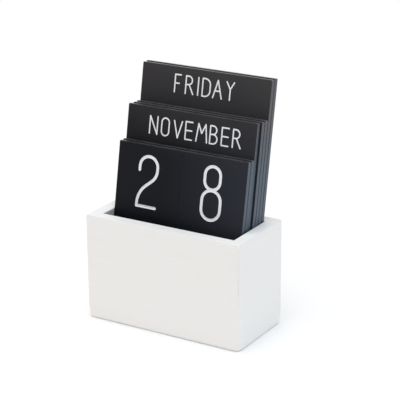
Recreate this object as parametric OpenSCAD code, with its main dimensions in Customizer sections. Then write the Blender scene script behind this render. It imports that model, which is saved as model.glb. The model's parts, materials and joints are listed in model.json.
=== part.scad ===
// Perpetual desk calendar: black tiles with the weekday, the month and the day of the month stand in
// stepped rows in the pocket of a white painted box, leaning back on its rear rim.
// Millimetres. +X is to the right, +Y to the back and +Z up, from the centre of the holder's underside.

/* [Tiles] */
// Thickness of every tile
tile_t = 3.9; // [3:0.1:6]
// Width of one number tile; two of them side by side are as wide as a month or weekday tile
number_w = 50.4; // [40:0.1:65]
// Height of the number tiles, end to end
number_h = 114; // [95:0.5:130]
// Height of the month tiles, end to end
month_h = 137.5; // [110:0.5:160]
// Height of the weekday tiles, end to end
weekday_h = 163.5; // [120:0.5:190]
// Radius of a tile's four corners, seen from the front
tile_corner = 0.8; // [0.6:0.1:4]
// Radius of the eased edges round a tile's two faces
tile_ease = 0.4; // [0.2:0.1:1]

/* [Holder] */
// Thickness of the four wall boards
wall_t = 9; // [6:0.5:14]
// Thickness of the base board
base_t = 9; // [5:0.5:14]
// Height of the holder
holder_h = 75; // [60:0.5:95]
// Radius of the holder's four upright corners
corner_r = 1.6; // [0.8:0.1:5]
// Radius of the eased edges along the rim and round the foot
rim_ease = 1; // [0.4:0.1:2.5]

/* [Fit] */
// Angle at which the tiles lean back, from upright
lean = 10.5; // [6:0.5:16]
// Room between the row of tiles and each side wall, with the row in the middle
side_play = 0.7; // [0.4:0.1:2]
// Gap between the faces of neighbouring tiles
tile_gap = 0.2; // [0.1:0.05:0.5]
// Gap between the two columns of number tiles
column_gap = 0.3; // [0.1:0.05:0.8]
// Gap where a tile comes to rest: at the base board, the front wall, the rear rim and a side wall
rest_gap = 0.15; // [0.05:0.05:0.3]

/* [Hidden] */
$fn = 48;

paint_colour = "#e9e6e2";
tile_colour = "#2d2d30";

// Layers of tiles, counted from the front of the stack: two of numbers, three of months, two of weekdays
NUMBER_LAYER = 0;
MONTH_LAYER = 2;
WEEKDAY_LAYER = 5;
LAYERS = 7;

layer_pitch = tile_t + tile_gap;
stack_t = LAYERS * layer_pitch - tile_gap;
row_w = 2 * number_w + column_gap;

// The pocket is as deep, front to back, as lets the stack stand with the foot of its first tile at the
// front wall and the back of its last tile on the rounded rear rim
floor_z = base_t + rest_gap;
pocket_w = row_w + 2 * side_play;
pocket_d = rest_gap - rim_ease
  + (holder_h - rim_ease - floor_z - tile_t * sin(lean)) * tan(lean)
  + (rim_ease + rest_gap + stack_t) / cos(lean);
holder_w = pocket_w + 2 * wall_t;
holder_d = pocket_d + 2 * wall_t;

// Front of the stack, square to the tiles, from the leaning plane through the origin
stack_front = (pocket_d / 2 + rim_ease) * cos(lean) - (holder_h - rim_ease) * sin(lean)
  - rim_ease - rest_gap - stack_t;

// Loose rows drift sideways in the pocket: the first month tile to the left wall, the tiles behind it
// to the right wall, and the numbers part of the way to the left
drift = side_play - rest_gap;
number_x = -0.4 * drift;
month_front_x = -drift;
rear_x = drift;
column_x = (number_w + column_gap) / 2;

// What an edge rounded to radius r takes off a square corner that points into the first quadrant
module rounding(r) {
  difference() {
    square(r);
    circle(r);
  }
}

// Rectangle from its lower left corner, with all four corners rounded
module eased_rectangle(w, h, r) {
  difference() {
    square([w, h]);
    translate([w - r, h - r]) rounding(r);
    translate([r, h - r]) rotate(90) rounding(r);
    translate([r, r]) rotate(180) rounding(r);
    translate([w - r, r]) rotate(270) rounding(r);
  }
}

// Wall board across its run: outer face on the left, eased at the foot and along both sides of the rim
module board_section() {
  difference() {
    square([wall_t, holder_h]);
    translate([wall_t - rim_ease, holder_h - rim_ease]) rounding(rim_ease);
    translate([rim_ease, holder_h - rim_ease]) rotate(90) rounding(rim_ease);
    translate([rim_ease, rim_ease]) rotate(180) rounding(rim_ease);
  }
}

// Wall board from above: mitred at both ends, with its share of the holder's rounded corners
module board_plan(run) {
  difference() {
    polygon([
      [-run / 2, 0],
      [run / 2, 0],
      [run / 2 - wall_t, wall_t],
      [-run / 2 + wall_t, wall_t]
    ]);
    translate([-run / 2 + corner_r, corner_r]) rotate(180) rounding(corner_r);
    translate([run / 2 - corner_r, corner_r]) rotate(270) rounding(corner_r);
  }
}

// Wall board along X, with its outer face at y = 0 and its inner face behind it
module wall_board(run) {
  color(paint_colour) intersection() {
    rotate([90, 0, 90]) linear_extrude(run, center = true) board_section();
    linear_extrude(holder_h) board_plan(run);
  }
}

module front_board() {
  translate([0, -holder_d / 2, 0]) wall_board(holder_w);
}

module back_board() {
  rotate(180) front_board();
}

module right_board() {
  translate([holder_w / 2, 0, 0]) rotate(90) wall_board(holder_d);
}

module left_board() {
  rotate(180) right_board();
}

// Base board, glued in between the four walls and flush with their feet
module base_board() {
  color(paint_colour) translate([-pocket_w / 2, -pocket_d / 2, 0]) cube([pocket_w, pocket_d, base_t]);
}

// Upright tile that stands on z = 0 with its front face at y = 0, all its edges eased
module tile_blank(w, h) {
  intersection() {
    translate([-w / 2, tile_t, 0]) rotate([90, 0, 0]) linear_extrude(tile_t) eased_rectangle(w, h, tile_corner);
    translate([-w / 2, 0, 0]) linear_extrude(h) eased_rectangle(w, tile_t, tile_ease);
    rotate([90, 0, 90]) linear_extrude(w, center = true) eased_rectangle(tile_t, h, tile_ease);
  }
}

// Tile in its layer of the leaning stack, standing on the base board with the lower edge of its back
module tile(w, h, layer, x) {
  front = stack_front + layer * layer_pitch;
  foot = (floor_z + (front + tile_t) * sin(lean)) / cos(lean);
  color(tile_colour) rotate([-lean, 0, 0]) translate([x, front, foot]) tile_blank(w, h);
}

module number_tile_left_front() {
  tile(number_w, number_h, NUMBER_LAYER, number_x - column_x);
}

module number_tile_left_rear() {
  tile(number_w, number_h, NUMBER_LAYER + 1, number_x - column_x);
}

module number_tile_right_front() {
  tile(number_w, number_h, NUMBER_LAYER, number_x + column_x);
}

module number_tile_right_rear() {
  tile(number_w, number_h, NUMBER_LAYER + 1, number_x + column_x);
}

module month_tile_front() {
  tile(row_w, month_h, MONTH_LAYER, month_front_x);
}

module month_tile_middle() {
  tile(row_w, month_h, MONTH_LAYER + 1, rear_x);
}

module month_tile_rear() {
  tile(row_w, month_h, MONTH_LAYER + 2, rear_x);
}

module weekday_tile_front() {
  tile(row_w, weekday_h, WEEKDAY_LAYER, rear_x);
}

module weekday_tile_rear() {
  tile(row_w, weekday_h, WEEKDAY_LAYER + 1, rear_x);
}

front_board();
back_board();
left_board();
right_board();
base_board();
number_tile_left_front();
number_tile_left_rear();
number_tile_right_front();
number_tile_right_rear();
month_tile_front();
month_tile_middle();
month_tile_rear();
weekday_tile_front();
weekday_tile_rear();
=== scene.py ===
"""Looks of a perpetual desk calendar: a white painted box, and black engraved tiles in its pocket.

Metres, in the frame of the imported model: +X to the right, +Y to the back, +Z up, from the centre of the
box's underside. Sizes written in millimetres are turned to metres with MM. Colours are linear red, green
and blue.
"""

import json
import math

import bpy
from mathutils import Matrix, Vector


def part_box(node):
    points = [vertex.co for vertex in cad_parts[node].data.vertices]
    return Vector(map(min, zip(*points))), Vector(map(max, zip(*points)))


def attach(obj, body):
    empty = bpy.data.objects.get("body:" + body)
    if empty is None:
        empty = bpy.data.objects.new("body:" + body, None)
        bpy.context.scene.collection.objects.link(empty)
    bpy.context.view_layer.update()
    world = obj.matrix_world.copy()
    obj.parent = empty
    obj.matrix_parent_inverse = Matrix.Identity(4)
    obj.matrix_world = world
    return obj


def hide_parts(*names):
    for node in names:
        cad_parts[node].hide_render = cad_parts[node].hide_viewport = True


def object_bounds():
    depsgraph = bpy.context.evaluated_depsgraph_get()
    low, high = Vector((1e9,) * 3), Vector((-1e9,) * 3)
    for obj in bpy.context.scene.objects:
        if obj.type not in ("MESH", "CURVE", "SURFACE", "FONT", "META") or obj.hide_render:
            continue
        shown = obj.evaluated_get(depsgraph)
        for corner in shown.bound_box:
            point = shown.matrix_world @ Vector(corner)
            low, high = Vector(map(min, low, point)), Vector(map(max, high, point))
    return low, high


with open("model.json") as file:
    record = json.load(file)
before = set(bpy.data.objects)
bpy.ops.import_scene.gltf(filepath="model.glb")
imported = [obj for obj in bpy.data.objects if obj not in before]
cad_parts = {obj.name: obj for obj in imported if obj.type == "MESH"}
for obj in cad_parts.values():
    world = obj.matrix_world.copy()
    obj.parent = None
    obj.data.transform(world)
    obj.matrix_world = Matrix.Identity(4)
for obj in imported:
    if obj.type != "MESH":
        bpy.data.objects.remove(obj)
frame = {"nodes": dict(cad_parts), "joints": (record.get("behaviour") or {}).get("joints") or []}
CAD_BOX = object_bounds()

MM = 0.001

UP = Vector((0, 0, 1))
FRONT = Vector((0, -1, 0))
RIGHT = Vector((1, 0, 0))

# Tiles lean back, and are lifted along the lean
LIFT_AXIS = Vector(frame["joints"][0]["axis"]).normalized()
LEAN = math.atan2(LIFT_AXIS.y, LIFT_AXIS.z)
LEAN_TURN = Matrix.Rotation(-LEAN, 4, "X")

# Tolerances: how near to a plane a point lies in it, how near two points are one, and the least cosine
# between an edge and the direction that it runs along
IN_PLANE = 0.001 * MM
SAME_POINT = 0.0001 * MM
RUNS_ALONG = 0.9999

# Holder: walls with the way they face, edges as worked, and the fine edge where two mitred boards meet
WALLS = {"front_board": FRONT, "right_board": RIGHT, "back_board": -FRONT, "left_board": -RIGHT}
CORNER_ROUND = 1.6 * MM
RIM_EASE = 1.0 * MM
BASE_EASE = 0.3 * MM
MITRE_EDGE = 0.05 * MM

# Hairline in the paint, where a mitred corner has moved: between which heights
HAIRLINE_FROM = 20 * MM
HAIRLINE_TO = 73 * MM

# Wear of the holder: how deep its corners are rubbed off at the foot, and how far up and along the walls
WORN_DEPTH = 1.6 * MM
WORN_HEIGHT = 9 * MM
WORN_REACH = 6 * MM
WORN_STEPS = 4

# Tiles: radii of their corners and edges, and the size of the fields that split their faces
TILE_CORNER = 0.8 * MM
TILE_EASE = 0.4 * MM
FIELD = 10 * MM

# How many facets make an edge round, and up to which angle they shade as one
CORNER_FACETS = 8
RIM_FACETS = 5
BASE_FACETS = 3
MITRE_FACETS = 1
TILE_FACETS = 4
SMOOTH_ANGLE = math.radians(26)

# Wear and painted light on the tiles' paint: how far the rubbed edges reach, and how much less the upright
# ones are rubbed; between which heights painted shade low down turns to a painted sheen, how much lower
# that is per metre to the right, and how uneven it is as a share of that way; and where a painted bluish
# reflection of cool light comes in towards the right
RUBBED_WIDTH = 1.0 * MM
UPRIGHT_LESS_RUBBED = 0.35
PAINTED_LIGHT_FROM = 113 * MM
PAINTED_LIGHT_TO = 158 * MM
PAINTED_LIGHT_SLANT = 0.1
PAINTED_LIGHT_UNEVEN = 0.3
BLUISH_FROM = -12 * MM
BLUISH_TO = 45 * MM

# White paint: dull and clean, and over the grain; with painted light on the flat of the rim, and painted
# shade on its outer edge and in the pocket; and along the hairline with the dirt in it
WHITE_DULL = (0.792, 0.793, 0.793)
WHITE_CLEAN = (0.808, 0.809, 0.810)
WHITE_ON_GRAIN = (0.778, 0.777, 0.774)
WHITE_RIM_PAINTED_LIGHT = (0.853, 0.867, 0.877)
WHITE_RIM_EDGE_SHADE = (0.728, 0.728, 0.726)
POCKET_PAINTED_SHADE = (0.62, 0.605, 0.585)
HAIRLINE_WHITE = (0.80, 0.79, 0.775)
HAIRLINE_DIRT = (0.045, 0.040, 0.036)

# Black paint: on the faces towards the left, and towards the right with a painted bluish reflection; a
# painted sheen higher up and a painted highlight at the top; thin on the sawn sides with a painted bluish
# reflection low down, and higher up; on the end grain, and worn and painted lighter there towards the top;
# and along the rubbed edges
BLACK_LEFT = (0.0026, 0.0032, 0.0060)
BLACK_RIGHT = (0.0142, 0.0170, 0.0250)
BLACK_PAINTED_SHEEN = (0.0250, 0.0234, 0.0266)
BLACK_PAINTED_HIGHLIGHT = (0.0390, 0.0376, 0.0398)
SIDE_THIN_BLUE_REFLECTING = (0.039, 0.063, 0.094)
SIDE_UPPER = (0.052, 0.053, 0.064)
END_BLACK = (0.028, 0.027, 0.030)
END_WORN_AND_LIT = (0.170, 0.162, 0.164)
EDGE_RUBBED = (0.064, 0.064, 0.068)

# White paint in the lettering, where it is thin and where it is thick
LETTERING_THIN = (0.675, 0.700, 0.737)
LETTERING_THICK = (0.747, 0.772, 0.813)

# Wood grain under the paint: how often it repeats per metre along X, Y and Z
BOARD_GRAIN = (26, 26, 420)
TILE_GRAIN = (520, 520, 34)

# Engraving: a stroke is cut with a round cutter, a sixth as deep as it is wide. Bends and ends are cut in
# steps of an angle. Widths and gaps are in millimetres, and so is how near two points are one.
GROOVE_DEPTH_SHARE = 1 / 6
GROOVE_FACETS = 7
BEND_STEP = math.radians(12)
END_ANGLES = [math.radians(a) for a in (20, 40, 60, 80)]
LETTER_STROKE = 1.0
NUMBER_STROKE = 2.08
LETTER_GAP = 3.4
SAME_STROKE_POINT = 0.0001

# After the cuts: slivers up to this width are taken out, and a point this near to a face lies on it
SLIVER = 0.003 * MM
ON_FACE = 0.0005 * MM

# Where an inscription stands on its tile, in millimetres: its foot below the tile's end, and how far right
# of the middle the row was laid out
FOOT_BELOW_END = {"number": 43.0, "month": 18.3, "weekday": 17.5}
SET_RIGHT = {"number": -0.3, "month": 3.5, "weekday": -0.5}

# What each tile carries: front upper end, front lower end, back upper end, back lower end
INSCRIPTIONS = {
    "number_tile_left_front": ("2", "3", "0", "1"),
    "number_tile_left_rear": ("0", "1", "2", "3"),
    "number_tile_right_front": ("8", "9", "", ""),
    "number_tile_right_rear": ("4", "5", "6", "7"),
    "month_tile_front": ("NOVEMBER", "DECEMBER", "SEPTEMBER", "OCTOBER"),
    "month_tile_middle": ("JANUARY", "FEBRUARY", "MARCH", "APRIL"),
    "month_tile_rear": ("MAY", "JUNE", "JULY", "AUGUST"),
    "weekday_tile_front": ("FRIDAY", "SATURDAY", "SUNDAY", ""),
    "weekday_tile_rear": ("MONDAY", "TUESDAY", "WEDNESDAY", "THURSDAY"),
}

# Single-stroke alphabet on its cutter's centre lines, in millimetres. A stroke is a run of points (x, y),
# and (x, y, r) rounds the bend there to radius r. A stroke that ends where it starts is a closed loop.
STEM = [(0, 0), (0, 12)]
ALPHABET = {
    "A": [[(0, 0), (3.4, 12)], [(3.4, 12), (6.8, 0)], [(1.4, 4.8), (5.4, 4.8)]],
    "B": [
        STEM,
        [(0, 12), (4.9, 12, 2.8), (4.9, 6.3, 2.8), (0, 6.3)],
        [(2.2, 6.3), (5.6, 6.3, 3.1), (5.6, 0, 3.1), (0, 0)],
    ],
    "C": [[(5.6, 9.2), (5.6, 12, 2.8), (0, 12, 2.8), (0, 0, 2.8), (5.6, 0, 2.8), (5.6, 2.8)]],
    "D": [STEM, [(0, 12), (6, 12, 4), (6, 0, 4), (0, 0)]],
    "E": [STEM, [(0, 12), (5.2, 12)], [(0, 6.1), (4.9, 6.1)], [(0, 0), (5.2, 0)]],
    "F": [STEM, [(0, 12), (4.6, 12)], [(0, 6.1), (3.3, 6.1)]],
    "G": [
        [(5.8, 9.1), (5.8, 12, 2.9), (0, 12, 2.9), (0, 0, 2.9), (5.8, 0, 2.9), (5.8, 5.4)],
        [(3.2, 5.4), (5.8, 5.4)],
    ],
    "H": [STEM, [(6, 0), (6, 12)], [(0, 6.1), (6, 6.1)]],
    "I": [STEM],
    "J": [[(4.6, 12), (4.6, 0, 2.3), (0, 0, 2.3), (0, 2.6)]],
    "L": [STEM, [(0, 0), (5, 0)]],
    "M": [
        [(0, 0), (1.4, 12)],
        [(1.4, 12), (4.1, 5.8)],
        [(4.1, 5.8), (6.9, 12)],
        [(6.9, 12), (8.4, 0)],
    ],
    "N": [STEM, [(0, 12), (6, 0)], [(6, 0), (6, 12)]],
    "O": [[(0, 6), (0, 12, 2.95), (5.9, 12, 2.95), (5.9, 0, 2.95), (0, 0, 2.95), (0, 6)]],
    "P": [STEM, [(0, 12), (4.9, 12, 2.9), (4.9, 6.2, 2.9), (0, 6.2)]],
    "R": [STEM, [(0, 12), (4.9, 12, 2.9), (4.9, 6.2, 2.9), (0, 6.2)], [(2.6, 6.2), (6, 0)]],
    "S": [
        [
            (5.4, 9.3), (5.4, 12, 2.7), (0, 12, 2.7), (0, 6.3, 2.7),
            (5.6, 6.3, 2.8), (5.6, 0, 2.8), (0, 0, 2.8), (0, 2.8),
        ],
    ],
    "T": [[(0, 12), (6, 12)], [(3, 12), (3, 0)]],
    "U": [[(0, 12), (0, 0, 2.95), (5.9, 0, 2.95), (5.9, 12)]],
    "V": [[(0, 11.4), (3.15, 0)], [(3.15, 0), (6.3, 11.4)]],
    "W": [[(0, 12), (2, 0)], [(2, 0), (4.2, 7.5)], [(4.2, 7.5), (6.4, 0)], [(6.4, 0), (8.4, 12)]],
    "Y": [[(0, 12), (2.9, 7.2)], [(5.7, 12), (2.9, 7.2)], [(2.9, 7.2), (2.9, 0)]],
    "0": [[(0, 18), (0, 36, 7.1), (14.2, 36, 7.1), (14.2, 0, 7.1), (0, 0, 7.1), (0, 18)]],
    "1": [[(0, 28.5), (6, 36)], [(6, 36), (6, 0)]],
    "2": [
        [(0.6, 25.2), (0.6, 35.1, 7.1), (14.8, 35.1, 7.1), (14.8, 21.6, 10.2), (0, 9.8, 16.5), (0, 0.4)],
        [(0, 0.4), (14.8, 0.4)],
    ],
    "3": [
        [(0.8, 28.5), (0.8, 36, 6.2), (13.2, 36, 6.2), (13.2, 20.2, 6.2), (6.2, 20.2)],
        [(7, 20.2), (14.3, 20.2, 7.1), (14.3, 0, 7.1), (0, 0, 7.1), (0, 8)],
    ],
    "4": [[(10.4, 0), (10.4, 36)], [(10.4, 36), (0, 10)], [(0, 10), (14.6, 10)]],
    "5": [
        [(1.2, 36), (13, 36)],
        [(1.2, 36), (0.6, 19.5)],
        [(0.6, 19.5), (4, 22.6, 4), (14.2, 22.6, 7), (14.2, 0, 7.1), (0, 0, 7.1), (0, 7.6)],
    ],
    "6": [
        [(12.6, 29.5), (12.6, 36, 6.3), (0, 36, 6.3), (0, 14.5)],
        [(0, 11), (0, 21.6, 7.1), (14.2, 21.6, 7.1), (14.2, 0, 7.1), (0, 0, 7.1), (0, 11)],
    ],
    "7": [[(0, 36), (14.4, 36)], [(14.4, 36), (4.4, 0)]],
    "8": [
        [(1, 28), (1, 36.1, 5.9), (12.9, 36.1, 5.9), (12.9, 20.4, 5.9), (1, 20.4, 5.9), (1, 28)],
        [(0, 10), (0, 19.9, 7), (14.3, 19.9, 7), (14.3, 0, 7.1), (0, 0, 7.1), (0, 10)],
    ],
    "9": [
        [(1.6, 6.5), (1.6, 0, 6.3), (14.2, 0, 6.3), (14.2, 21.5)],
        [(14.2, 25), (14.2, 14.4, 7.1), (0, 14.4, 7.1), (0, 36, 7.1), (14.2, 36, 7.1), (14.2, 25)],
    ],
}
# Room to the next letter, where it differs from LETTER_GAP
ROOM_AFTER = {"D": 2.4, "F": 4.1, "M": 2.2, "O": 3.9, "R": 3.8, "V": 2.9}

# Floor: how large it is and how far below the object it lies, in which tone it throws light back and in
# which it is seen, how much it glows near the object, how far off it is plain white, and up to which share
# of that way it stays as it is near the object
FLOOR_SIZE = 12.0
FLOOR_DROP = 0.3 * MM
FLOOR_TONE = (0.9, 0.9, 0.9)
FLOOR_SHOWN = (0.945, 0.955, 0.970)
FLOOR_GLOW = 0.1
FLOOR_WHITE_FROM = 0.9
FLOOR_SHADOW_SHARE = 0.4
WHITE = (1, 1, 1)

# Light of the room, and by which share it is dimmer from straight above and from straight behind
ROOM_LEFT = (1.030, 0.872, 0.720)
ROOM_RIGHT = (1.085, 1.165, 1.240)
DIMMER_ABOVE = 0.25
DIMMER_BEHIND = 0.09

# Soft light from above, with its power in watts
KEY_PLACE = Vector((-0.07, -0.08, 1.6))
KEY_SIZE = 0.7
KEY_POWER = 8.6
KEY_COLOUR = (0.80, 0.88, 0.94)

# Rays that show a surface itself, and not the light that it throws on others
SHOWING_RAYS = ("Is Camera Ray", "Is Glossy Ray", "Is Transmission Ray")

# Camera, as the photograph was taken, with its lens in millimetres
CAMERA_AZIMUTH = math.radians(31.17)
CAMERA_ELEVATION = math.radians(19.42)
CAMERA_ROLL = math.radians(-0.38)
CAMERA_DISTANCE = 1082.4 * MM
CAMERA_TARGET = Vector((-4.44, 29.25, 77.51)) * MM
CAMERA_LENS = 140.3


def deselect_all():
    """Leaves edit mode, with nothing selected."""
    if bpy.context.mode != "OBJECT":
        bpy.ops.object.mode_set(mode="OBJECT")
    bpy.ops.object.select_all(action="DESELECT")


def take(piece):
    """Makes a piece the only selected and the active one, in object mode."""
    deselect_all()
    piece.select_set(True)
    bpy.context.view_layer.objects.active = piece


def take_all(piece):
    """Enters edit mode with the whole of a piece selected."""
    take(piece)
    bpy.ops.object.mode_set(mode="EDIT")
    bpy.ops.mesh.select_all(action="SELECT")


def add_block(name, low, high):
    """Cube primitive at its size and place, with its place in its mesh."""
    deselect_all()
    bpy.ops.mesh.primitive_cube_add(size=1, location=(low + high) / 2)
    block = bpy.context.object
    block.name = block.data.name = name
    block.scale = high - low
    bpy.ops.object.transform_apply(location=True, rotation=True, scale=True)
    return block


def pick(piece, kind, wanted):
    """Enters edit mode with the edges or faces selected whose corner points are wanted."""
    take(piece)
    bpy.context.tool_settings.mesh_select_mode = (False, kind == "edges", kind == "faces")
    mesh = piece.data
    for elements in (mesh.vertices, mesh.edges, mesh.polygons):
        for element in elements:
            element.select = False
    for element in mesh.edges if kind == "edges" else mesh.polygons:
        element.select = wanted([mesh.vertices[i].co for i in element.vertices])
    bpy.ops.object.mode_set(mode="EDIT")


def round_edges(piece, radius, facets, wanted):
    """Rounds the edges whose end points are wanted."""
    pick(piece, "edges", wanted)
    bpy.ops.mesh.bevel(offset=radius, segments=facets, affect="EDGES")


def split_faces(piece, through, normal, top=math.inf):
    """Splits the faces that lie below a height along a plane, and leaves the piece whole."""
    pick(piece, "faces", lambda points: all(p.z < top for p in points))
    bpy.ops.mesh.bisect(plane_co=through, plane_no=normal)


def in_plane(points, through, normal):
    """True if all points lie in the plane through a point, square to a normal."""
    return all(abs((p - through).dot(normal)) < IN_PLANE for p in points)


def in_outer_plane(points, low, high, normal):
    """True if all points lie in the plane through low, or all in the plane through high."""
    return in_plane(points, low, normal) or in_plane(points, high, normal)


def run_along(ends, direction):
    """True for an edge that runs along a direction."""
    return abs((ends[1] - ends[0]).normalized().dot(direction)) > RUNS_ALONG


def cut_away(piece, tool):
    """Takes the tool's shape out of a piece; the cut faces get the tool's material."""
    take(piece)
    cut = piece.modifiers.new("cut", "BOOLEAN")
    cut.operation = "DIFFERENCE"
    cut.solver = "MANIFOLD"
    cut.material_mode = "TRANSFER"
    cut.object = tool
    bpy.ops.object.modifier_apply(modifier=cut.name)
    bpy.data.objects.remove(tool)


def smooth_edges(piece):
    """Rounded edges shade smooth and flat faces stay flat."""
    take(piece)
    bpy.ops.object.shade_smooth_by_angle(angle=SMOOTH_ANGLE)
    flatten = piece.modifiers.new("flat_faces", "WEIGHTED_NORMAL")
    flatten.keep_sharp = True
    bpy.ops.object.modifier_apply(modifier=flatten.name)


def copy_of(piece, name):
    """Copy of a piece, with its own mesh."""
    take(piece)
    bpy.ops.object.duplicate(linked=False)
    copied = bpy.context.object
    copied.name = copied.data.name = name
    return copied


def fit(piece, body, node):
    """Puts a finished piece on its body, in its node's place."""
    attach(piece, body)
    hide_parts(node)


# Shader nodes


class Value:
    """Output of a shader node that can be used in sums: each operator adds its Math node."""

    def __init__(self, finish, output):
        self.finish = finish
        self.output = output

    def __add__(self, other):
        return self.finish.math("ADD", self, other)

    def __sub__(self, other):
        return self.finish.math("SUBTRACT", self, other)

    def __rsub__(self, other):
        return self.finish.math("SUBTRACT", other, self)

    def __mul__(self, other):
        return self.finish.math("MULTIPLY", self, other)

    def __truediv__(self, other):
        return self.finish.math("DIVIDE", self, other)

    def __rtruediv__(self, other):
        return self.finish.math("DIVIDE", other, self)

    __radd__ = __add__
    __rmul__ = __mul__


class Finish:
    """Node tree of a material or world, put together from values."""

    def __init__(self, owner):
        self.owner = owner
        owner.use_nodes = True
        self.tree = owner.node_tree
        self.tree.nodes.clear()

    def node(self, kind, settings=None, sockets=None, output=0):
        """Adds a node: its settings are set first, then its sockets get their values or links."""
        made = self.tree.nodes.new(kind)
        for name, value in (settings or {}).items():
            if name == "stops":
                self.set_stops(made.color_ramp, value)
            else:
                setattr(made, name, value)
        for name, value in (sockets or {}).items():
            self.set_socket(self.socket(made, name), value)
        return Value(self, made.outputs[output]) if made.outputs else None

    @staticmethod
    def socket(made, name):
        """Input of a node by its number, its identifier or its name."""
        if isinstance(name, int):
            return made.inputs[name]
        return next(s for s in made.inputs if name in (s.identifier, s.name))

    def set_socket(self, socket, value):
        """Links an input to a value, or sets a colour or a number on it."""
        if isinstance(value, Value):
            self.tree.links.new(value.output, socket)
        elif socket.type == "RGBA":
            socket.default_value = (*value, 1.0)
        else:
            socket.default_value = value

    @staticmethod
    def set_stops(ramp, stops):
        """Gives a ramp its (place, grey) stops."""
        while len(ramp.elements) < len(stops):
            ramp.elements.new(1)
        for element, (place, grey) in zip(ramp.elements, stops):
            element.position = place
            element.color = (grey, grey, grey, 1.0)

    def math(self, operation, first, second=0.0):
        return self.node("ShaderNodeMath", {"operation": operation}, {0: first, 1: second})

    def least(self, first, second):
        return self.math("MINIMUM", first, second)

    def most(self, first, second):
        return self.math("MAXIMUM", first, second)

    def place(self, **mapping):
        """Object coordinates, turned or stretched by a Mapping node."""
        place = self.node("ShaderNodeTexCoord", output="Object")
        if not mapping:
            return place
        sockets = {name.capitalize(): value for name, value in mapping.items()}
        return self.node("ShaderNodeMapping", sockets={"Vector": place, **sockets})

    def stored(self, name):
        """Vector that is stored on the mesh."""
        return self.node("ShaderNodeAttribute", {"attribute_name": name}, output="Vector")

    def axes(self, place):
        """X, Y and Z of a vector."""
        split = self.node("ShaderNodeSeparateXYZ", sockets={"Vector": place})
        return [Value(self, output) for output in split.output.node.outputs]

    def noise(self, place, per_metre, detail=2.0, roughness=0.5):
        """Noise that repeats about so many times per metre."""
        sockets = {"Vector": place, "Scale": per_metre, "Detail": detail, "Roughness": roughness}
        return self.node("ShaderNodeTexNoise", sockets=sockets, output="Fac")

    def grain(self, repeats, roughness, **mapping):
        """Streaks of wood grain, from how often they repeat per metre along X, Y and Z."""
        stretched = self.place(scale=repeats, **mapping)
        return self.noise(stretched, per_metre=1.0, detail=4.0, roughness=roughness)

    def ramp(self, value, *stops):
        """Value put through a ramp of (place, grey) stops."""
        return self.node("ShaderNodeValToRGB", {"stops": stops}, {"Fac": value}, output="Color")

    def mix(self, share, first, second):
        """Colour between first and second."""
        sockets = {"Factor_Float": share, "A_Color": first, "B_Color": second}
        return self.node("ShaderNodeMix", {"data_type": "RGBA"}, sockets, output=2)

    def mix_shaders(self, share, first, second):
        """Shader between first and second."""
        return self.node("ShaderNodeMixShader", sockets={0: share, 1: first, 2: second})

    def bump(self, height, distance, strength):
        """Normal of a surface with a relief up to a distance deep, shown at a strength."""
        sockets = {"Height": height, "Distance": distance, "Strength": strength}
        return self.node("ShaderNodeBump", sockets=sockets)

    def surface(self, **sockets):
        """Principled surface on the material's output."""
        named = {name.replace("_", " "): value for name, value in sockets.items()}
        shader = self.node("ShaderNodeBsdfPrincipled", sockets=named)
        self.node("ShaderNodeOutputMaterial", sockets={"Surface": shader})
        return self.owner


def new_finish(name):
    """Finish of a new material."""
    return Finish(bpy.data.materials.new(name))


# White paint


def from_pocket_wall(finish, across, deep):
    """How far outside the planes of the pocket's walls a point lies."""
    _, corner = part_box("base_board")
    beyond_end = finish.math("ABSOLUTE", across) - corner.x
    beyond_side = finish.math("ABSOLUTE", deep) - corner.y
    return finish.most(beyond_end, beyond_side)


def in_pocket(finish, outward, height):
    """1 on the pocket's walls and floor, and 0 outside and from the middle of the rim's easing up."""
    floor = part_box("base_board")[1].z
    inside = finish.ramp(outward / RIM_EASE, (0.0, 1.0), (0.5, 0.0))
    return inside * finish.ramp(height / floor, (0.6, 0.0), (0.9, 1.0))


def on_rim(finish, height):
    """1 on the flat of the rim, and 0 from the upper part of its easing down."""
    top = holder_box()[1].z
    return finish.ramp((top - height) / RIM_EASE, (0.05, 1.0), (0.3, 0.0))


def on_rim_edge(finish, outward, height):
    """1 on the eased outer edge of the rim, and 0 on the faces that it joins."""
    corner = holder_box()[1]
    wall = corner.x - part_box("base_board")[1].x
    # How far in from the outer face and down from the top, which is less on the easing than on either face
    short = (wall - outward + corner.z - height) / RIM_EASE
    return finish.ramp(short, (0.7, 1.0), (1.0, 0.0))


def white_paint():
    """Satin white paint, brushed along the boards, with a trace of the grain under it. It carries painted
    light on the flat of the rim, lighter and bluer, and painted shade on the rim's outer edge and, grey, in
    the pocket."""
    finish = new_finish("brushed_white_paint")
    place = finish.place()
    grain = finish.grain(BOARD_GRAIN, roughness=0.55)
    cloud = finish.noise(place, per_metre=38.0, detail=3.0)
    stipple = finish.noise(place, per_metre=2600.0)
    across, deep, height = finish.axes(place)
    outward = from_pocket_wall(finish, across, deep)
    over_grain = finish.ramp(grain, (0.42, 0.0), (0.75, 0.5))
    # Painted shade: grey, unevenly, on the pocket's walls and floor
    pocket_shade = in_pocket(finish, outward, height) * (0.5 + cloud)
    tone = finish.mix(cloud, WHITE_DULL, WHITE_CLEAN)
    # Painted light: lighter and bluer on the flat of the rim
    tone = finish.mix(on_rim(finish, height), tone, WHITE_RIM_PAINTED_LIGHT)
    # Painted shade on the rim's eased outer edge, which takes down its highlight
    tone = finish.mix(on_rim_edge(finish, outward, height), tone, WHITE_RIM_EDGE_SHADE)
    tone = finish.mix(over_grain, tone, WHITE_ON_GRAIN)
    tone = finish.mix(pocket_shade, tone, POCKET_PAINTED_SHADE)
    relief = grain * 0.6 + stipple * 0.4
    return finish.surface(
        Base_Color=tone,
        Roughness=0.40 + cloud * 0.12 + stipple * 0.06,
        Normal=finish.bump(relief, distance=0.12 * MM, strength=0.7),
        Specular_IOR_Level=0.4,
    )


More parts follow.
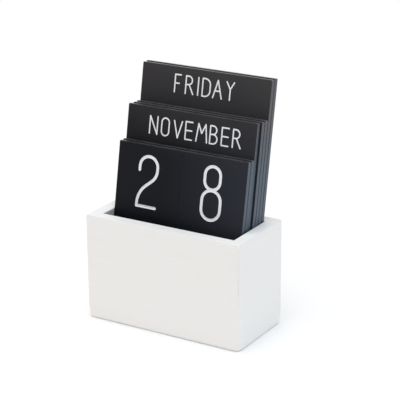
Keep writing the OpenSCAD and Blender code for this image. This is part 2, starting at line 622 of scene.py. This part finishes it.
def hairline_paint():
    """White paint that has parted along a joint: dirt shows in it, most about halfway up."""
    finish = new_finish("hairline_paint")
    place = finish.place()
    height = finish.axes(place)[2]
    risen = (height - HAIRLINE_FROM) / (HAIRLINE_TO - HAIRLINE_FROM)
    opened = finish.ramp(risen, (0.0, 0.0), (0.3, 0.4), (0.5, 1.0), (0.75, 0.6), (0.97, 0.5), (1.0, 0.0))
    broken = finish.ramp(finish.noise(place, per_metre=260.0, detail=3.0), (0.3, 0.35), (0.6, 1.0))
    tone = finish.mix(opened * broken, HAIRLINE_WHITE, HAIRLINE_DIRT)
    return finish.surface(Base_Color=tone, Roughness=0.6 + broken * 0.3)


# Black paint and lettering paint


def tile_wear(finish, place):
    """Where a tile shows its sawn sides, its end grain and its rubbed edges."""
    scuff = finish.noise(place, per_metre=900.0, detail=4.0, roughness=0.65)
    near = finish.axes(finish.stored("from_low"))
    far = finish.axes(finish.stored("from_high"))
    from_side, from_face, from_end = [finish.least(a, b) for a, b in zip(near, far)]
    # The sides' colour reaches over most of the eased edge next to each face: painted light that lightens
    # the shaded dip between neighbouring tiles
    sawn = finish.ramp(from_face / TILE_EASE, (0.3, 0.0), (0.8, 1.0))
    end_grain = sawn * finish.ramp(from_end / TILE_EASE, (0.0, 1.0), (1.0, 0.0))
    end_edge = (from_face + from_end) / RUBBED_WIDTH + scuff
    upright_edge = (from_face + from_side) / RUBBED_WIDTH + scuff + UPRIGHT_LESS_RUBBED
    rubbed = finish.ramp(finish.least(end_edge, upright_edge), (0.55, 0.7), (1.0, 0.0))
    return sawn, end_grain, rubbed


def face_tone(finish, across, risen, painted_light_up):
    """Black of a tile's faces: a painted bluish reflection towards the right, and painted shade low down
    that turns to a painted sheen and then a painted highlight towards the top.
    """
    bluish = finish.ramp((across - BLUISH_FROM) / (BLUISH_TO - BLUISH_FROM), (0.0, 0.0), (1.0, 1.0))
    painted_highlight = finish.ramp(risen - 1, (0.0, 0.0), (0.5, 1.0))
    # Painted bluish reflection of cool light towards the right
    tone = finish.mix(bluish, BLACK_LEFT, BLACK_RIGHT)
    # Painted shade low down turns to a painted sheen higher up
    tone = finish.mix(painted_light_up, tone, BLACK_PAINTED_SHEEN)
    # Painted highlight at the top of the highest tiles
    return finish.mix(painted_highlight, tone, BLACK_PAINTED_HIGHLIGHT)


def end_tone(finish, risen, cloud):
    """Black of the end grain: worn lighter in patches, and lighter towards the top, partly by wear and
    partly as painted light from above.
    """
    patchy = finish.ramp(cloud, (0.38, 0.0), (0.62, 1.0))
    # Lighter towards the top: partly wear, and partly painted light from above
    worn_and_lit = finish.ramp(risen * 0.7, (0.3, 0.0), (0.9, 0.7)) + patchy * 0.3
    return finish.mix(worn_and_lit, END_BLACK, END_WORN_AND_LIT)


def black_paint():
    """Matt black paint of the tiles, with painted shade low down and a painted sheen higher up, thin sawn
    sides with a painted bluish reflection, and rubbed edges.
    """
    finish = new_finish("black_paint")
    upright = (LEAN, 0, 0)
    place = finish.place(rotation=upright)
    grain = finish.grain(TILE_GRAIN, roughness=0.6, rotation=upright)
    cloud = finish.noise(place, per_metre=55.0, detail=3.0)
    grit = finish.noise(place, per_metre=3000.0)
    sawn, end_grain, rubbed = tile_wear(finish, place)
    across, _, height = finish.axes(place)
    # Painted light: darker low down, where the rim's shade falls, and lighter higher up with a painted
    # sheen, a little lower towards the right and unevenly
    uneven = (cloud - 0.5) * PAINTED_LIGHT_UNEVEN
    risen = (height + across * PAINTED_LIGHT_SLANT - PAINTED_LIGHT_FROM) / (PAINTED_LIGHT_TO - PAINTED_LIGHT_FROM) + uneven
    painted_light_up = finish.ramp(risen, (0.0, 0.0), (1.0, 1.0))
    # Sawn sides: thin paint with a painted bluish reflection of cool light, strongest low down
    side_tone = finish.mix(painted_light_up, SIDE_THIN_BLUE_REFLECTING, SIDE_UPPER)
    tone = finish.mix(sawn, face_tone(finish, across, risen, painted_light_up), side_tone)
    tone = finish.mix(end_grain, tone, end_tone(finish, risen, cloud))
    tone = finish.mix(rubbed, tone, EDGE_RUBBED)
    relief = grain * 0.5 + grit * 0.5
    return finish.surface(
        Base_Color=tone,
        Roughness=0.40 + cloud * 0.10 + grit * 0.08,
        Normal=finish.bump(relief, distance=0.10 * MM, strength=0.8),
        Specular_IOR_Level=0.14,
        Coat_Weight=sawn * 0.5 + end_grain * 0.5,
        Coat_Roughness=0.25,
    )


def lettering_paint():
    """White paint wiped into the engraved strokes."""
    finish = new_finish("lettering_paint")
    patch = finish.noise(finish.place(), per_metre=420.0, detail=3.0, roughness=0.6)
    thick = finish.ramp(patch, (0.35, 0.0), (0.7, 1.0))
    return finish.surface(
        Base_Color=finish.mix(thick, LETTERING_THIN, LETTERING_THICK),
        Roughness=0.5 + patch * 0.15,
        Normal=finish.bump(patch, distance=0.06 * MM, strength=0.5),
    )


# Holder


def holder_box():
    """Lowest and highest corner of the four walls together."""
    boxes = [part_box(node) for node in WALLS]
    low = Vector([min(box[0][i] for box in boxes) for i in range(3)])
    high = Vector([max(box[1][i] for box in boxes) for i in range(3)])
    return low, high


def holder_ring():
    """All four walls in one ring with worked outer edges, before it is sawn apart at the mitres."""
    low, high = holder_box()
    pocket_low, pocket_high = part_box("base_board")
    ring = add_block("holder_ring", low, high)
    round_edges(ring, CORNER_ROUND, CORNER_FACETS, lambda ends: run_along(ends, UP))
    round_edges(ring, RIM_EASE, RIM_FACETS, lambda ends: in_outer_plane(ends, low, high, UP))
    wear_feet(ring, low, high)
    split_faces(ring, UP * HAIRLINE_FROM, UP)
    split_faces(ring, UP * HAIRLINE_TO, UP)
    over = UP * high.z
    pocket = add_block("pocket", pocket_low - over, pocket_high + over)
    cut_away(ring, pocket)
    return ring


def wear_feet(ring, low, high):
    """Rubs the four upright corners off towards the foot."""
    shares = [step / WORN_STEPS for step in range(1, WORN_STEPS + 1)]
    for share in shares:
        split_faces(ring, low + UP * (WORN_HEIGHT * share), UP)
    top = low.z + WORN_HEIGHT + IN_PLANE
    for share in shares:
        inset = (RIGHT - FRONT) * (WORN_REACH * share)
        for axis in (RIGHT, FRONT):
            split_faces(ring, low + inset, axis, top)
            split_faces(ring, high - inset, axis, top)
    bpy.ops.object.mode_set(mode="OBJECT")
    middle = (low + high) / 2
    for vertex in ring.data.vertices:
        inward = Vector([math.copysign(1, way) for way in middle.xy - vertex.co.xy])
        from_corner = (high - middle).xy + (vertex.co - middle).xy * inward
        beside = max(0, 1 - from_corner.length / WORN_REACH)
        below = max(0, 1 - (vertex.co.z - low.z) / WORN_HEIGHT)
        vertex.co.xy += inward.normalized() * (WORN_DEPTH * beside**2 * below)


def saw(piece, through, kept):
    """Cuts a piece at a plane and keeps the side that the direction points to."""
    take_all(piece)
    bpy.ops.mesh.bisect(
        plane_co=through, plane_no=kept, use_fill=True, clear_inner=True, threshold=SAME_POINT
    )


def mitre_planes(outward):
    """(outer corner, direction to the wall's own side) of the mitres at both ends of a wall."""
    low, high = holder_box()
    reach = (high - low) / 2
    along = Vector((-outward.y, outward.x, 0))
    outer = (low + high) / 2 + outward * reach
    return [(outer + along * reach * side, (outward - along * side).normalized()) for side in (1, -1)]


def on_hairline(points, corner, across):
    """True for a face along the outer edge of a mitre, at the heights where the paint has parted."""
    beside = all(abs((p - corner).dot(across)) < 2 * MITRE_EDGE for p in points)
    outside = all((p - corner).xy.length < CORNER_ROUND for p in points)
    level = all(HAIRLINE_FROM - IN_PLANE < p.z < HAIRLINE_TO + IN_PLANE for p in points)
    return beside and outside and level and not in_plane(points, corner, across)


def paint_hairlines(board, mitres, hairline):
    """Gives the faces along a board's hairlines their own paint."""
    board.data.materials.append(hairline)
    for face in board.data.polygons:
        points = [board.data.vertices[i].co for i in face.vertices]
        if any(on_hairline(points, *mitre) for mitre in mitres):
            face.material_index = len(board.data.materials) - 1


def wall_board(ring, node, outward, paint, hairline):
    """One board, sawn out of the ring at its two mitres and eased along its inner rim."""
    low, high = holder_box()
    pocket_low, pocket_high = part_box("base_board")
    middle = (low + high) / 2
    inner = middle + outward * (pocket_high - pocket_low) / 2
    mitres = mitre_planes(outward)

    def on_inner_rim(ends):
        return in_plane(ends, high, UP) and in_plane(ends, inner, outward)

    def on_mitre(ends):
        return any(in_plane(ends, *mitre) for mitre in mitres)

    board = copy_of(ring, node + "_painted")
    saw(board, middle, outward)
    for corner, kept in mitres:
        saw(board, corner, kept)
    round_edges(board, RIM_EASE, RIM_FACETS, on_inner_rim)
    round_edges(board, MITRE_EDGE, MITRE_FACETS, on_mitre)
    finish_solid(board, paint)
    paint_hairlines(board, mitres, hairline)
    fit(board, "holder", node)


def finish_solid(piece, paint):
    """Turns a solid's normals to the outside, paints and shades it."""
    take_all(piece)
    bpy.ops.mesh.normals_make_consistent(inside=False)
    bpy.ops.object.mode_set(mode="OBJECT")
    # The pocket's cut leaves an empty material slot
    piece.data.materials.clear()
    piece.data.materials.append(paint)
    smooth_edges(piece)


def base_board(paint):
    """Board between the walls, eased all round."""
    board = add_block("base_board_painted", *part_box("base_board"))
    round_edges(board, BASE_EASE, BASE_FACETS, lambda ends: True)
    finish_solid(board, paint)
    fit(board, "holder", "base_board")


def build_holder(paint, hairline):
    """Four mitred boards, and the base board between them."""
    ring = holder_ring()
    for node, outward in WALLS.items():
        wall_board(ring, node, outward, paint, hairline)
    bpy.data.objects.remove(ring)
    base_board(paint)


# Lettering


def bend(before, here, after):
    """Arc of a stroke's bend at here, tangent to the runs from before and to after."""
    corner = Vector(here[:2])
    radius = here[2]
    back = (Vector(before[:2]) - corner).normalized()
    on = (Vector(after[:2]) - corner).normalized()
    half = back.angle(on) / 2
    centre = corner + (back + on).normalized() * (radius / math.sin(half))
    start = corner + back * (radius / math.tan(half)) - centre
    end = corner + on * (radius / math.tan(half)) - centre
    turn = -start.angle_signed(end)
    steps = math.ceil(abs(turn) / BEND_STEP)
    return [centre + Matrix.Rotation(turn * i / steps, 2) @ start for i in range(steps + 1)]


def centre_line(stroke):
    """Points along a stroke, with its bends as arcs."""
    points = [Vector(stroke[0][:2])]
    for before, here, after in zip(stroke, stroke[1:], stroke[2:]):
        points += bend(before, here, after)
    points.append(Vector(stroke[-1][:2]))
    apart = [p for last, p in zip(points, points[1:]) if (p - last).length > SAME_STROKE_POINT]
    return points[:1] + apart


def round_end(tip, direction, width):
    """Points and widths that round off a stroke past its tip."""
    reach = width / 2
    return [(tip + direction * (reach * math.sin(a)), width * math.cos(a)) for a in END_ANGLES]


def cutter_path(stroke, width):
    """Points with the groove's width at each, and whether the stroke is a loop."""
    points = centre_line(stroke)
    if stroke[0][:2] == stroke[-1][:2]:
        return [(p, width) for p in points[:-1]], True
    head = round_end(points[0], (points[0] - points[1]).normalized(), width)
    tail = round_end(points[-1], (points[-1] - points[-2]).normalized(), width)
    return head[::-1] + [(p, width) for p in points] + tail, False


def glyph_width(glyph):
    """Width of a glyph between its outermost centre lines."""
    return max(point[0] for stroke in ALPHABET[glyph] for point in stroke)


def row_of_glyphs(text):
    """(glyph, x of its left edge) for each glyph of a text that is centred on 0."""
    placed = []
    x = 0
    for glyph in text:
        placed.append((glyph, x))
        x += glyph_width(glyph) + ROOM_AFTER.get(glyph, LETTER_GAP)
    width = placed[-1][1] + glyph_width(text[-1]) if text else 0
    return [(glyph, x - width / 2) for glyph, x in placed]


def groove_section():
    """Section of a groove 1 mm wide, closed above the face: a shallow arc, as a round cutter leaves it."""
    side = 0.5
    depth = GROOVE_DEPTH_SHARE
    radius = (side**2 + depth**2) / (2 * depth)
    half = math.asin(side / radius)
    angles = [half * (1 - 2 * i / GROOVE_FACETS) for i in range(GROOVE_FACETS + 1)]
    arc = [(radius * math.sin(a), radius - depth - radius * math.cos(a)) for a in angles]
    lid = [(-side, depth), (side, depth)]
    section = bpy.data.curves.new("groove_section", "CURVE")
    section.dimensions = "2D"
    add_spline(section, [(point, 1) for point in lid + arc], closed=True)
    piece = bpy.data.objects.new("groove_section", section)
    bpy.context.collection.objects.link(piece)
    return piece


def add_spline(curve, path, closed):
    """Straight-run spline through points in millimetres, with a radius at each."""
    spline = curve.splines.new("POLY")
    spline.points.add(len(path) - 1)
    for point, (place, radius) in zip(spline.points, path):
        point.co = (place[0] * MM, place[1] * MM, 0, 1)
        point.radius = radius
    spline.use_cyclic_u = closed


def stroke_cutter(section, paths, paint):
    """Solid that a groove's section sweeps along the paths, which don't cross each other."""
    curve = bpy.data.curves.new("cutter", "CURVE")
    curve.dimensions = "2D"
    curve.fill_mode = "NONE"
    curve.bevel_mode = "OBJECT"
    curve.bevel_object = section
    curve.use_fill_caps = True
    for path, closed in paths:
        add_spline(curve, path, closed)
    swept = bpy.data.objects.new("cutter", curve)
    bpy.context.collection.objects.link(swept)
    take(swept)
    bpy.ops.object.convert(target="MESH")
    cutter = bpy.context.object
    take_all(cutter)
    bpy.ops.mesh.remove_doubles(threshold=SAME_POINT)
    bpy.ops.object.mode_set(mode="OBJECT")
    cutter.data.materials.clear()
    cutter.data.materials.append(paint)
    return cutter


# Tiles


def upright_box(node):
    """Lowest and highest corner of a tile that is turned upright about the X axis."""
    back = LEAN_TURN.inverted()
    points = [back @ v.co for v in frame["nodes"][node].data.vertices]
    low = Vector([min(p[i] for p in points) for i in range(3)])
    high = Vector([max(p[i] for p in points) for i in range(3)])
    return low, high


def tile_blank(name, low, high):
    """Upright tile with rounded corners and eased edges round both faces."""
    blank = add_block(name, low, high)
    round_edges(blank, TILE_CORNER, TILE_FACETS, lambda ends: run_along(ends, FRONT))
    round_edges(blank, TILE_EASE, TILE_FACETS, lambda ends: in_outer_plane(ends, low, high, FRONT))
    split_into_fields(blank, low, high)
    return blank


def split_into_fields(blank, low, high):
    """Splits the large faces into fields, so that the cuts leave small and well-shaped faces."""
    for axis in (RIGHT, UP):
        length = (high - low).dot(axis)
        fields = round(length / FIELD)
        for number in range(1, fields):
            split_faces(blank, low + axis * (length * number / fields), axis)


def inscription_passes(upper, lower, row, height):
    """Cutter paths of one face's two inscriptions, sorted by stroke number: a letter's strokes cross each
    other, so each pass holds one stroke of every letter. The face's origin is the middle of its foot."""
    width = NUMBER_STROKE if row == "number" else LETTER_STROKE
    foot = height - FOOT_BELOW_END[row]
    passes = {}
    for text, turned in ((upper, False), (lower, True)):
        for glyph, x in row_of_glyphs(text):
            shift = Vector((x + SET_RIGHT[row], foot))
            for number, stroke in enumerate(ALPHABET[glyph]):
                path, closed = cutter_path(stroke, width)
                path = [(p + shift, w) for p, w in path]
                if turned:
                    path = [(Vector((-p.x, height - p.y)), w) for p, w in path]
                passes.setdefault(number, []).append((path, closed))
    return passes


def engrave(tile, low, high, row, texts, section, paint):
    """Cuts the inscriptions of both faces into an upright tile."""
    middle = (low.x + high.x) / 2
    faces = ((texts[:2], low.y, 0), (texts[2:], high.y, math.pi))
    for (upper, lower), face_y, turn in faces:
        passes = inscription_passes(upper, lower, row, (high.z - low.z) / MM)
        for paths in passes.values():
            cutter = stroke_cutter(section, paths, paint)
            cutter.rotation_euler = (math.pi / 2, 0, turn)
            cutter.location = (middle, face_y, low.z)
            bpy.ops.object.transform_apply(location=True, rotation=True, scale=True)
            cut_away(tile, cutter)


def clean_cuts(tile):
    """Splits the cut faces into triangles and takes out the slivers that crossing strokes leave."""
    take_all(tile)
    bpy.ops.mesh.quads_convert_to_tris(quad_method="BEAUTY", ngon_method="BEAUTY")
    bpy.ops.mesh.dissolve_degenerate(threshold=SLIVER)
    bpy.ops.object.mode_set(mode="OBJECT")


def straight_out(point, low, high):
    """Normal of the flat face of a tile that a point lies on, or a zero vector if it lies on none."""
    for axis in (RIGHT, FRONT, UP):
        for corner in (low, high):
            if abs((point - corner).dot(axis)) < ON_FACE:
                return axis if (point - (low + high) / 2).dot(axis) > 0 else -axis
    return Vector()


def shade_tile(tile, low, high):
    """Flat faces shade flat, eased edges shade round, and the strokes keep a crisp rim."""
    take(tile)
    bpy.ops.object.shade_smooth_by_angle(angle=SMOOTH_ANGLE)
    outward = [straight_out(vertex.co, low, high) for vertex in tile.data.vertices]
    normals = []
    for face in tile.data.polygons:
        black = face.material_index == 0
        normals += [outward[i] if black else Vector() for i in face.vertices]
    tile.data.normals_split_custom_set(normals)


def store_place(tile, low, high):
    """Stores how far each point lies from the tile's lowest and highest corner, which its paint reads."""
    for name, corner, sense in (("from_low", low, 1), ("from_high", high, -1)):
        stored = tile.data.attributes.new(name, "FLOAT_VECTOR", "POINT")
        for vertex, value in zip(tile.data.vertices, stored.data):
            value.vector = (vertex.co - corner) * sense


def lean_back(tile):
    """Turns an upright tile to its lean, with the turn in its mesh."""
    take(tile)
    tile.rotation_euler.x = -LEAN
    bpy.ops.object.transform_apply(location=True, rotation=True, scale=True)


def build_tiles(paint, lettering):
    """Every tile: modelled and engraved upright, then turned to its lean."""
    section = groove_section()
    for node, texts in INSCRIPTIONS.items():
        row = node.split("_")[0]
        low, high = upright_box(node)
        tile = tile_blank(node + "_engraved", low, high)
        tile.data.materials.append(paint)
        tile.data.materials.append(lettering)
        engrave(tile, low, high, row, texts, section, lettering)
        clean_cuts(tile)
        shade_tile(tile, low, high)
        store_place(tile, low, high)
        lean_back(tile)
        fit(tile, node.replace("_tile", ""), node)
    bpy.data.objects.remove(section)


# Studio


def seen_directly(finish):
    """1 for rays from the camera, or through a reflection or glass, and 0 for rays that carry light."""
    path = finish.node("ShaderNodeLightPath").output.node.outputs
    camera, reflected, through_glass = [Value(finish, path[name]) for name in SHOWING_RAYS]
    return finish.most(finish.most(camera, reflected), through_glass)


def floor_finish():
    """White floor that keeps a soft shadow near the object and is plain white further off."""
    finish = new_finish("floor")
    matt = finish.node("ShaderNodeBsdfDiffuse", sockets={"Color": FLOOR_TONE})
    pale = finish.node("ShaderNodeBsdfDiffuse", sockets={"Color": FLOOR_SHOWN})
    white = finish.node("ShaderNodeEmission", sockets={"Color": WHITE, "Strength": 1.0})
    across, deep, _ = finish.axes(finish.place())
    away = finish.math("SQRT", across * across + deep * deep)
    glow = finish.ramp(away / FLOOR_WHITE_FROM, (FLOOR_SHADOW_SHARE, FLOOR_GLOW), (1.0, 1.0))
    bright = finish.mix_shaders(glow, pale, white)
    shown = finish.mix_shaders(seen_directly(finish), matt, bright)
    finish.node("ShaderNodeOutputMaterial", sockets={"Surface": shown})
    return finish.owner


def studio_floor():
    """Floor just below the object."""
    deselect_all()
    bpy.ops.mesh.primitive_plane_add(size=FLOOR_SIZE, location=-UP * FLOOR_DROP)
    floor = bpy.context.object
    floor.name = "floor"
    floor.data.materials.append(floor_finish())


def room_light():
    """Soft light from all round, warm from the left and cool from the right. The room looks white."""
    finish = Finish(bpy.data.worlds.new("studio"))
    right, back, up = finish.axes(finish.node("ShaderNodeTexCoord", output="Generated"))
    lit = finish.mix(right * 0.5 + 0.5, ROOM_LEFT, ROOM_RIGHT)
    strength = 1 - up * DIMMER_ABOVE - back * DIMMER_BEHIND
    light = finish.node("ShaderNodeBackground", sockets={"Color": lit, "Strength": strength})
    white = finish.node("ShaderNodeBackground", sockets={"Color": WHITE, "Strength": 1.0})
    shown = finish.mix_shaders(seen_directly(finish), light, white)
    finish.node("ShaderNodeOutputWorld", sockets={"Surface": shown})
    bpy.context.scene.world = finish.owner


def key_light():
    """Soft light above the object, aimed at its middle."""
    deselect_all()
    bpy.ops.object.light_add(type="AREA", location=KEY_PLACE)
    key = bpy.context.object
    key.name = "key_softbox"
    key.data.shape = "SQUARE"
    key.data.size = KEY_SIZE
    key.data.energy = KEY_POWER
    key.data.color = KEY_COLOUR
    aim = Vector((0, 0, CAD_BOX[1].z / 2)) - KEY_PLACE
    key.rotation_euler = aim.to_track_quat("-Z", "Y").to_euler()


def photo_camera():
    """Camera that looks at its target from the photograph's side and height, slightly rolled."""
    aside = RIGHT * math.sin(CAMERA_AZIMUTH) + FRONT * math.cos(CAMERA_AZIMUTH)
    back = aside * math.cos(CAMERA_ELEVATION) + UP * math.sin(CAMERA_ELEVATION)
    deselect_all()
    bpy.ops.object.camera_add(location=CAMERA_TARGET + back * CAMERA_DISTANCE)
    camera = bpy.context.object
    camera.rotation_mode = "QUATERNION"
    roll = Matrix.Rotation(CAMERA_ROLL, 3, "Z").to_quaternion()
    camera.rotation_quaternion = (-back).to_track_quat("-Z", "Y") @ roll
    camera.data.lens = CAMERA_LENS
    bpy.context.scene.camera = camera


def main():
    bpy.context.scene.view_settings.view_transform = "Standard"
    build_holder(white_paint(), hairline_paint())
    build_tiles(black_paint(), lettering_paint())
    studio_floor()
    room_light()
    key_light()
    photo_camera()


main()
